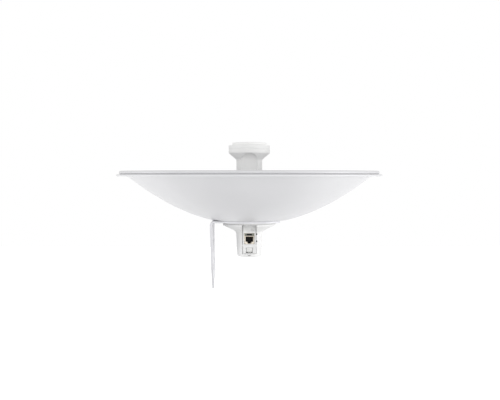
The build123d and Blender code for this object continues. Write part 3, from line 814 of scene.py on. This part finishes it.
def outline_mesh(outline: Sequence[Point2]) -> Mesh:
    """Returns the outline as bare points in the XZ plane, from mm."""
    return mesh_from([(radius * MM, 0.0, height * MM) for radius, height in outline])


# ---- the object's own pieces ----

@dataclass
class Workshop:
    """What every sub-assembly needs: the axis, the finishes and the three node trees."""

    axis: Boresight
    wardrobe: Wardrobe
    lathe: Graph
    on_an_arc: Graph
    in_a_row: Graph

    @property
    def vertex(self) -> tuple[float, float, float]:
        """The parabola's vertex, in metres."""
        return tuple(self.axis.at(0, 0, 0))

    def turn(self, name: str, outline: Sequence[Point2], finish: Finish, segments: int,
             centre: Sequence[float] = (0.0, 0.0, 0.0)) -> Piece:
        """Turns an outline round an upright axis.

        Args:
            name: the piece's name.
            outline: closed outline of (radius, height), in mm.
            finish: the piece's finish.
            segments: how many flats make the round.
            centre: a point of the axis at height zero, in metres.

        Returns:
            The closed piece.
        """
        piece = self.lathe.run(name, outline_mesh(outline), self.wardrobe.get(finish),
                               Segments=segments, Outline_Points=len(outline), Axis=centre)
        face_outwards(piece)
        return piece


@dataclass(frozen=True)
class ScrewPattern:
    """Where the screws pass through the seat."""

    circle: float = 30.0
    count: int = 4
    first_degrees: float = 45.0

    def repeat(self, shop: Workshop, name: str, single: Piece, finish: Finish) -> Piece:
        """Repeats a piece once for each screw.

        Args:
            shop: the workshop.
            name: the group's name.
            single: the piece, on the Z axis.
            finish: the group's finish.

        Returns:
            The group, as one piece.
        """
        return shop.on_an_arc.run(name, single.data.copy(), shop.wardrobe.get(finish),
                                  Count=self.count, Radius=self.circle * MM,
                                  First_Angle=math.radians(self.first_degrees),
                                  Step_Angle=2 * math.pi / self.count, Axis=shop.vertex)


@dataclass
class Reflector:
    """Stamped dish: flat seat, parabolic bowl and a lip rolled out, back and up into a bead."""

    focus: float = 120.0
    sheet: float = 0.8
    hole_radius: float = 21.5
    seat_radius: float = 54.0
    blend_radius: float = 66.0
    bowl_radius: float = 189.0
    lip_start: float = 195.5
    lip_height: float = 77.2
    edge_radius: float = 209.96
    roll_radius: float = 1.2
    tuck_x: float = 204.45
    tuck_radius: float = 0.7
    tuck_angle: float = 60.0
    bead_radius: float = 2.2
    tail_height: float = 79.2
    segments: int = 288
    seat_steps: int = 4
    bend_steps: int = 8
    bowl_steps: int = 56
    roll_steps: int = 10
    bead_steps: int = 20
    screws: ScrewPattern = ScrewPattern()
    screw_hole: float = 2.25
    hole_segments: int = 40
    drill_span: tuple[float, float] = (5.5, 11.5)

    def bowl(self, radius: float) -> float:
        """Height of the middle of the sheet on the parabola."""
        return radius ** 2 / (4 * self.focus) + self.sheet / 2

    def slope(self, radius: float) -> float:
        """Slope of the parabola."""
        return radius / (2 * self.focus)

    def path(self) -> list[Point2]:
        """Draws the middle of the sheet, from the centre hole to the tail of the bead.

        Returns:
            The path's points of (radius, height).
        """
        seat = SEAT_HEIGHT + self.sheet / 2
        blend_x, edge = self.blend_radius, self.bowl_radius
        seat_corner = blend_x - (self.bowl(blend_x) - seat) / self.slope(blend_x)
        lip_corner = edge + (self.lip_height - self.bowl(edge)) / self.slope(edge)
        seat_width = self.seat_radius - self.hole_radius
        points = [(self.hole_radius + seat_width * step / self.seat_steps, seat)
                  for step in range(self.seat_steps)]
        points += bend_points((self.seat_radius, seat), (seat_corner, seat),
                              (blend_x, self.bowl(blend_x)), self.bend_steps)
        for step in range(1, self.bowl_steps):
            radius = blend_x + (edge - blend_x) * step / self.bowl_steps
            points.append((radius, self.bowl(radius)))
        points += bend_points((edge, self.bowl(edge)), (lip_corner, self.lip_height),
                              (self.lip_start, self.lip_height), self.bend_steps)
        return points + self.rim()

    def rim(self) -> list[Point2]:
        """Draws the roll at the edge, the tuck over it and the bead inside that.

        Returns:
            The rest of the path.
        """
        roll = (self.edge_radius - self.sheet / 2 - self.roll_radius,
                self.lip_height + self.roll_radius)
        points = arc_points(roll, self.roll_radius, -90, 90, self.roll_steps)
        tuck = (self.tuck_x, roll[1] + self.roll_radius + self.tuck_radius)
        turn = 180 - self.tuck_angle
        points += arc_points(tuck, self.tuck_radius, -90, turn - 360, self.bend_steps)
        bead = on_circle(tuck, self.tuck_radius + self.bead_radius, turn)
        points += arc_points(bead, self.bead_radius, -self.tuck_angle, 180, self.bead_steps)[1:]
        points.append((bead[0] - self.bead_radius, self.tail_height))
        return points

    def build(self, shop: Workshop) -> None:
        """Makes the dish, with its screw holes.

        Args:
            shop: the workshop.
        """
        piece = shop.turn("dish_sheet", sheet_outline(self.path(), self.sheet), DISH_COAT,
                          self.segments, shop.vertex)
        low, high = self.drill_span
        pin = shop.turn("drill_pin", [(0.0, low), (self.screw_hole, low),
                                      (self.screw_hole, high), (0.0, high)],
                        DISH_COAT, self.hole_segments)
        drill = self.screws.repeat(shop, "drill", pin, DISH_COAT)
        cut_away(piece, drill)
        discard(pin, drill)
        smooth(piece)
        hand_over(piece, Body.MOUNT, "coated_steel", "reflector_dish")


@dataclass
class ScrewSet:
    """Pan-head screws with cross recesses, and their washers."""

    screws: ScrewPattern = ScrewPattern()
    segments: int = 48
    washer_low: float = 8.3
    washer_height: float = 0.8
    washer_bore: float = 2.2
    washer_radius: float = 4.3
    washer_edge: tuple[float, float] = (0.1, 0.15)
    shank_radius: float = 1.95
    tip_chamfer: float = 0.5
    head_radius: float = 4.0
    head_height: float = 2.7
    head_edge: float = 0.15
    dome_start: float = 1.1
    dome_inset: float = 0.3
    dome_steps: int = 12
    length: float = 12.0
    recess_top: Point2 = (2.1, 0.45)
    recess_bottom: Point2 = (0.9, 0.3)
    recess_depth: float = 1.7
    clearance: float = 0.3

    @property
    def head_base(self) -> float:
        """Height of the underside of the head."""
        return self.washer_low + self.washer_height

    def screw_outline(self) -> list[Point2]:
        """Draws half of a screw, with a domed head.

        Returns:
            The outline's points of (radius, height).
        """
        base, edge = self.head_base, self.head_edge
        tip, top = base - self.length, base + self.head_height
        dome = bend_points((self.head_radius, base + self.dome_start),
                           (self.head_radius - self.dome_inset, top), (0.0, top),
                           self.dome_steps)
        return [(0.0, tip), (self.shank_radius - self.tip_chamfer, tip),
                (self.shank_radius, tip + self.tip_chamfer), (self.shank_radius, base),
                (self.head_radius - edge, base), (self.head_radius, base + edge), *dome]

    def washer_outline(self) -> list[Point2]:
        """Draws half of a washer.

        Returns:
            The outline's points of (radius, height).
        """
        low, high = self.washer_low, self.head_base
        inset, chamfer = self.washer_edge
        rim = self.washer_radius
        return [(self.washer_bore, low), (rim - inset, low), (rim, low + chamfer),
                (rim, high - chamfer), (rim - inset, high), (self.washer_bore, high)]

    def cross(self, shop: Workshop) -> Piece:
        """Makes the tapering cross that cuts the recess.

        Args:
            shop: the workshop.

        Returns:
            The cross, over the Z axis.
        """
        face = self.head_base + self.head_height
        bar = tapered_bar(self.recess_bottom, self.recess_top, face - self.recess_depth,
                          face + self.clearance)
        return shop.on_an_arc.run("cross", bar, shop.wardrobe.get(STAINLESS), Count=2,
                                  Radius=0.0, Step_Angle=math.pi / 2)

    def build(self, shop: Workshop) -> None:
        """Makes the screws and the washers.

        Args:
            shop: the workshop.
        """
        screw = shop.turn("one_screw", self.screw_outline(), STAINLESS, self.segments)
        cross = self.cross(shop)
        face_outwards(cross)
        cut_away(screw, cross, crossing=True)
        washer = shop.turn("one_washer", self.washer_outline(), STAINLESS, self.segments)
        for single, name, node in ((screw, "dish_screws", "mounting_screws"),
                                   (washer, "dish_washers", "mounting_washers")):
            group = self.screws.repeat(shop, name, single, STAINLESS)
            smooth(group)
            hand_over(group, Body.MOUNT, "stainless_steel", node)
        discard(screw, washer, cross)


@dataclass
class Bracket:
    """L-shaped plate, with elevation marks printed beside the slot of its ear."""

    plate: SoftenedShell = SoftenedShell("alignment_bracket", Body.MOUNT, BRACKET_COAT,
                                         "coated_steel_bracket", 0.45)
    ear_face_x: float = -61.0
    pivot_y: float = 12.0
    pivot_z: float = -25.0
    mark_radius: float = 57.0
    mark_count: int = 9
    first_mark: float = 10.0
    mark_step: float = 5.0
    mark_length: float = 3.2
    mark_width: float = 0.7
    mark_height: float = 0.04

    def build(self, shop: Workshop) -> None:
        """Makes the plate and the marks.

        Args:
            shop: the workshop.
        """
        self.plate.build(shop.wardrobe)
        self.marks(shop)

    def marks(self, shop: Workshop) -> None:
        """Prints short bars every few degrees round the pivot.

        Args:
            shop: the workshop.
        """
        half = (self.mark_length / 2, self.mark_width / 2)
        bar = tapered_bar(half, half, -self.mark_height, self.mark_height)
        # The arc lies in its own XY plane. A quarter turn about Y lays it on the ear, with its
        # first angle straight down.
        marks = shop.on_an_arc.run(
            "elevation_marks", bar, shop.wardrobe.get(PRINTED_MARK), Count=self.mark_count,
            Radius=self.mark_radius * MM, First_Angle=math.radians(self.first_mark),
            Step_Angle=math.radians(self.mark_step), Turn=(0.0, math.pi / 2, 0.0),
            Axis=tuple(shop.axis.at(self.ear_face_x, self.pivot_y, self.pivot_z)))
        hand_over(marks, Body.MOUNT, "coated_steel_bracket")


@dataclass
class NetworkPort:
    """The jack: folded shield, black insert and sprung contacts."""

    shield: SoftenedShell = SoftenedShell("ethernet_jack_shell", Body.FEED, TIN_PLATE,
                                          "tinned_steel", 0.12)
    insert: SoftenedShell = SoftenedShell("ethernet_jack_insert", Body.FEED, JACK_PLASTIC,
                                          "black_jack_plastic", 0.15)
    contact_count: int = 8
    pitch: float = 1.02
    wire_width: float = 0.42
    wire_height: float = 0.28
    # Start, corner and end of the wire's two bends, as (y, z).
    mouth_bend: tuple[Point2, Point2, Point2] = ((-14.6, -18.75), (-13.9, -18.5), (-12.6, -18.9))
    root_bend: tuple[Point2, Point2, Point2] = ((-9.0, -19.3), (-6.0, -19.7), (-4.02, -19.7))
    bend_steps: int = 6

    def build(self, shop: Workshop) -> None:
        """Makes the shield, the insert and the contacts.

        Args:
            shop: the workshop.
        """
        self.shield.build(shop.wardrobe)
        self.insert.build(shop.wardrobe)
        self.contacts(shop)

    def contacts(self, shop: Workshop) -> None:
        """Bends one wire and repeats it across the socket.

        Args:
            shop: the workshop.
        """
        path = [point for bend in (self.mouth_bend, self.root_bend)
                for point in bend_points(*bend, self.bend_steps)]
        outline = sheet_outline(path, self.wire_height)
        half = self.wire_width / 2
        count = len(outline)
        points = [shop.axis.at(x, y, z) for x in (-half, half) for y, z in outline]
        faces = [tuple(range(count)), tuple(range(2 * count - 1, count - 1, -1))]
        faces += [(i, (i + 1) % count, count + (i + 1) % count, count + i) for i in range(count)]
        start = -self.pitch * (self.contact_count - 1) / 2
        row = shop.in_a_row.run("socket_contacts", mesh_from(points, faces),
                                shop.wardrobe.get(GOLD_PLATE), Count=self.contact_count,
                                Start=(start * MM, 0.0, 0.0), Step=(self.pitch * MM, 0.0, 0.0))
        face_outwards(row)
        smooth(row)
        hand_over(row, Body.FEED, "gold_plated_wire", "ethernet_contacts")


SHELLS = (
    SoftenedShell("rear_housing", Body.MOUNT, HOUSING_PLASTIC, "white_housing_plastic", 0.35),
    SoftenedShell("feed_tube", Body.FEED, FEED_PLASTIC, "feed_plastic", 0.4),
    SoftenedShell("feed_cap", Body.FEED, FEED_PLASTIC, "feed_plastic", 0.3),
    SoftenedShell("port_carrier", Body.FEED, HOUSING_PLASTIC, "white_housing_plastic", 0.2),
    SoftenedShell("release_latch", Body.LATCH, LATCH_PLASTIC, "latch_plastic", 0.18),
    SoftenedShell("reset_button", Body.RESET, BUTTON_PLASTIC, "grey_button_plastic", 0.2),
    SoftenedShell("tube_seal", Body.FEED, SILICONE, "black_rubber", 0.2),
    SoftenedShell("collar_gasket", Body.MOUNT, FOAM, "foam_rubber", 0.3),
)


# ---- studio ----

@dataclass(frozen=True)
class Softbox:
    """A large soft light. Azimuth 0 is the camera's side and 90 the right; sizes in metres."""

    name: str
    azimuth: float
    elevation: float
    distance: float
    size: float
    power: float

    def build(self, target: Vector) -> None:
        """Adds the light.

        Args:
            target: the point it is aimed at.
        """
        lamp = bpy.data.lights.new(self.name, "AREA")
        lamp.shape = "SQUARE"
        lamp.size = self.size
        lamp.energy = self.power
        holder = bpy.data.objects.new(self.name, lamp)
        azimuth, elevation = math.radians(self.azimuth), math.radians(self.elevation)
        away = Vector((math.sin(azimuth) * math.cos(elevation),
                       -math.cos(azimuth) * math.cos(elevation), math.sin(elevation)))
        holder.location = target + away * self.distance
        holder.rotation_euler = away.to_track_quat("Z", "Y").to_euler()
        holder.visible_camera = False
        bpy.context.scene.collection.objects.link(holder)


LIGHTS = (
    Softbox("front_light", azimuth=6.0, elevation=4.0, distance=1.9, size=1.0, power=6.0),
    Softbox("right_light", azimuth=76.0, elevation=-6.0, distance=1.5, size=0.55, power=6.4),
    Softbox("left_light", azimuth=-82.0, elevation=-6.0, distance=1.5, size=0.55, power=4.2),
)
WHITE = (1.0, 1.0, 1.0, 1.0)


@dataclass
class Studio:
    """Pale floor, white surroundings, soft lights and the camera."""

    axis: Boresight
    camera_distance: float = 1200.0
    camera_height: float = 79.0
    camera_side: float = 1.1
    lens: float = 54.0
    sensor_width: float = 36.0
    clip_start: float = 0.02
    drop: float = -0.05
    aim_height: float = 40.0
    surround: float = 0.8
    floor_height: float = -420.0
    floor_half: float = 4000.0
    floor_colour: str = "#c0c0c0"
    floor_patches_per_metre: float = 12.0
    floor_roughness: tuple[float, float] = (0.7, 0.9)
    # The floor's painted glow starts and is full at these distances, in metres; nearer in, the floor
    # is a painted soft shadow.
    glow_span: tuple[float, float] = (0.15, 0.5)
    glow_strength: float = 0.7
    front_share: float = 0.3

    def build(self) -> None:
        """Adds everything that isn't the object."""
        self.camera()
        self.world()
        self.floor()
        for light in LIGHTS:
            light.build(self.axis.at(0, 0, self.aim_height))
        bpy.context.scene.view_settings.view_transform = "Standard"

    def camera(self) -> None:
        """Adds the camera, level, with the boresight upright in its view."""
        camera = bpy.data.cameras.new("camera")
        camera.lens = self.lens
        camera.sensor_width = self.sensor_width
        camera.shift_y = self.drop
        camera.clip_start = self.clip_start
        holder = bpy.data.objects.new("camera", camera)
        holder.location = self.axis.at(self.camera_side, -self.camera_distance,
                                       self.camera_height)
        holder.rotation_euler = (math.pi / 2, 0.0, 0.0)
        bpy.context.scene.collection.objects.link(holder)
        bpy.context.scene.camera = holder

    def world(self) -> None:
        """Surrounds the object with white that is dimmer as a light than as a backdrop."""
        world = bpy.data.worlds.new("studio_white")
        bpy.context.scene.world = world
        world.use_nodes = True
        nodes = Nodes(world.node_tree)
        light, seen = (nodes.add("ShaderNodeBackground", {"Color": WHITE, "Strength": strength})
                       for strength in (self.surround, 1.0))
        camera_ray = nodes.add("ShaderNodeLightPath")["Is Camera Ray"]
        mix = nodes.add("ShaderNodeMixShader", {0: camera_ray, 1: light[0], 2: seen[0]})
        nodes.add("ShaderNodeOutputWorld", {"Surface": mix[0]})

    def floor(self) -> None:
        """Adds a pale floor some way below the object, with painted glow away from it and a painted
        shadow under it.
        """
        half = self.floor_half
        corners = [self.axis.at(x, y, self.floor_height)
                   for x, y in ((-half, -half), (half, -half), (half, half), (-half, half))]
        floor = add_piece("floor", mesh_from(corners, [(0, 1, 2, 3)]))
        canvas = Canvas("matt_white_floor_paint")
        low, high = self.floor_roughness
        noise = canvas.add("ShaderNodeTexNoise",
                           {"Vector": canvas.place, "Scale": self.floor_patches_per_metre})["Fac"]
        rough = canvas.add("ShaderNodeMapRange", {"Value": noise, "To Min": low, "To Max": high})
        # Painted light: the emission glows away from the object and leaves a painted soft shadow
        # under it.
        wear(floor, canvas.shade({"Base Color": linear(self.floor_colour),
                                  "Roughness": rough[0], "Emission Color": WHITE,
                                  "Emission Strength": self.glow(canvas)}))

    def glow(self, canvas: Canvas) -> Socket:
        """Painted light: glow that the floor gives off away from the object, standing in for a lit
        sweep.

        Args:
            canvas: the floor's material.

        Returns:
            The strength, from nothing under the object, where the floor is left as a painted soft
            shadow, to full further out. In front it grows more slowly, by front_share.
        """
        parts = canvas.add("ShaderNodeSeparateXYZ", {0: canvas.place})
        side = canvas.math("SUBTRACT", parts["X"], self.axis.x)
        front = canvas.math("MULTIPLY", parts["Y"], -self.front_share)
        depth = canvas.math("MAXIMUM", parts["Y"], front)
        flat = canvas.add("ShaderNodeCombineXYZ", {"X": side, "Y": depth})[0]
        away = canvas.add("ShaderNodeVectorMath", {0: flat}, operation="LENGTH")["Value"]
        near, far = self.glow_span
        return canvas.add("ShaderNodeMapRange",
                          {"Value": away, "From Min": near, "From Max": far,
                           "To Max": self.glow_strength}, interpolation_type="SMOOTHSTEP")[0]


# ---- main ----


def main() -> None:
    """Builds the sub-assemblies in order."""
    logging.basicConfig(level=logging.INFO, format="%(name)s: %(message)s")
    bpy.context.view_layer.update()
    axis = Boresight.from_frame()
    Studio(axis).build()
    wardrobe = Wardrobe()
    wardrobe.dress_nodes()
    shop = Workshop(axis, wardrobe, lathe_graph(), arc_graph(), row_graph())
    Reflector().build(shop)
    ScrewSet().build(shop)
    Bracket().build(shop)
    for shell in SHELLS:
        shell.build(wardrobe)
    NetworkPort().build(shop)


if __name__ == "__main__":
    main()
